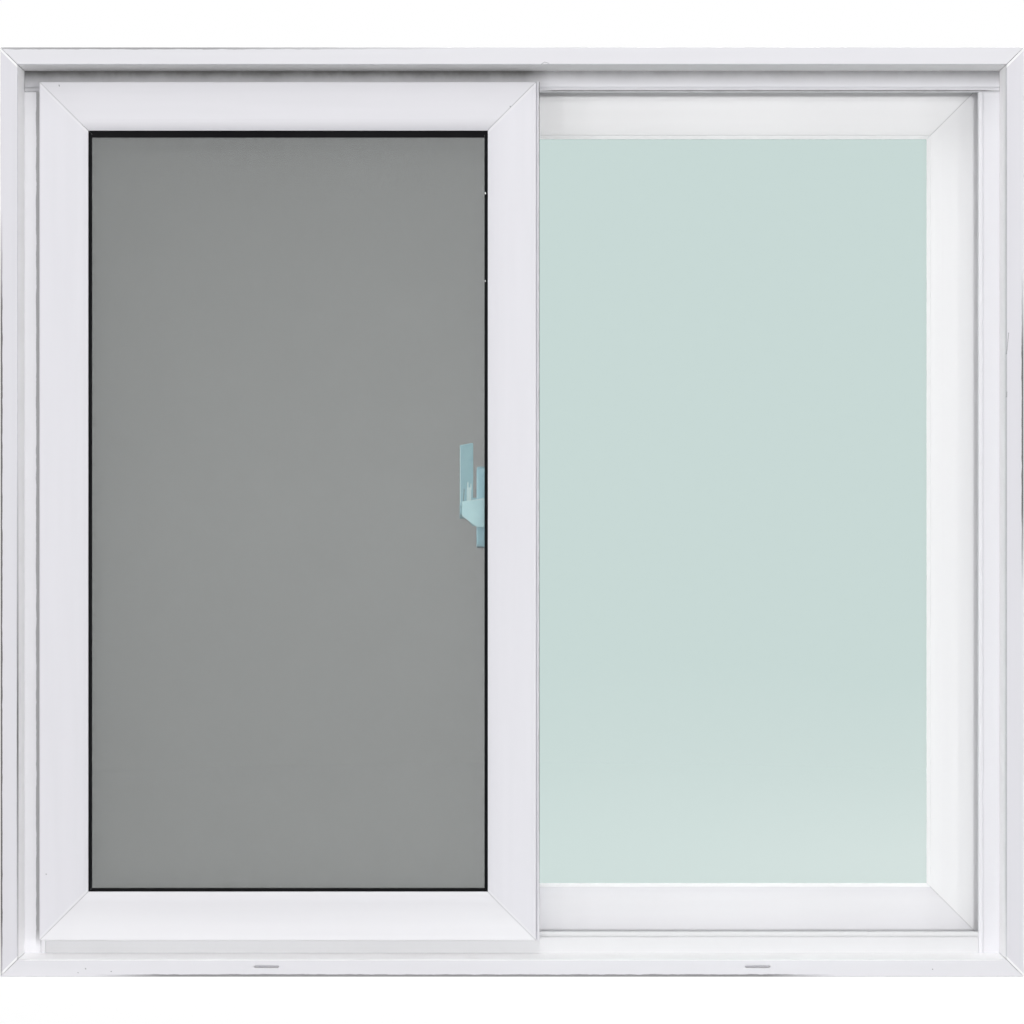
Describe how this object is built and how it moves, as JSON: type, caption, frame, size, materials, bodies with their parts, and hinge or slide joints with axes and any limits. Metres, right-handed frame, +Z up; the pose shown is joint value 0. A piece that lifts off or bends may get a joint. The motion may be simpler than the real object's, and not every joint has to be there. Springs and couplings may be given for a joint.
{
  "type": "horizontal sliding window",
  "caption": "White sliding window with a mitred frame, an outer and an inner glazed sash on raised rails, a sliding insect screen and a crescent lock.",
  "frame": {"origin": "middle of the sill's underside, half way between the outside and the room face of the frame", "axes": "+X along the window to the right as seen from outside, +Y from outside into the room, +Z up"},
  "size_m": [1.2, 0.128, 1.09],
  "materials": {
    "white_upvc": "smooth satin white",
    "green_glass": "clear, pale green float glass",
    "black_rubber": "matt black",
    "pale_rubber": "matt pale grey",
    "grey_rubber": "matt grey",
    "roller_nylon": "matt grey",
    "lock_paint": "smooth white",
    "grey_mesh": "woven coated yarn"
  },
  "bodies": {
    "frame": {"frame_sill": "white_upvc", "frame_head": "white_upvc", "frame_left_jamb": "white_upvc", "frame_right_jamb": "white_upvc", "head_rails": "white_upvc", "sill_rails": "white_upvc", "left_jamb_rails": "white_upvc", "right_jamb_rails": "white_upvc"},
    "front_sash": {"front_bottom_rail": "white_upvc", "front_left_stile": "white_upvc", "front_top_rail": "white_upvc", "front_meeting_stile": "white_upvc", "front_glass": "green_glass", "front_outer_gasket": "black_rubber", "front_inner_gasket": "black_rubber", "front_glazing_beads": "white_upvc", "front_interlock_strip": "white_upvc", "front_roller_housings": "roller_nylon", "front_rollers": "roller_nylon", "lock_keeper": "lock_paint"},
    "rear_sash": {"rear_bottom_rail": "white_upvc", "rear_meeting_stile": "white_upvc", "rear_top_rail": "white_upvc", "rear_right_stile": "white_upvc", "rear_glass": "green_glass", "rear_outer_gasket": "pale_rubber", "rear_inner_gasket": "pale_rubber", "rear_glazing_beads": "white_upvc", "rear_interlock_strip": "white_upvc", "rear_roller_housings": "roller_nylon", "rear_rollers": "roller_nylon", "lock_base": "lock_paint", "lock_lever": "lock_paint"},
    "screen": {"screen_bottom_rail": "white_upvc", "screen_left_stile": "white_upvc", "screen_top_rail": "white_upvc", "screen_right_stile": "white_upvc", "screen_mesh": "grey_mesh", "screen_spline": "grey_rubber", "screen_glides": "roller_nylon"}
  },
  "joints": [
    {"name": "front_sash_slide", "type": "slide", "parent": "frame", "child": "front_sash", "axis": [1, 0, 0], "range_m": [0, 0.51]},
    {"name": "rear_sash_slide", "type": "slide", "parent": "frame", "child": "rear_sash", "axis": [-1, 0, 0], "range_m": [0, 0.48]},
    {"name": "screen_slide", "type": "slide", "parent": "frame", "child": "screen", "axis": [1, 0, 0], "range_m": [0, 0.55]}
  ]
}
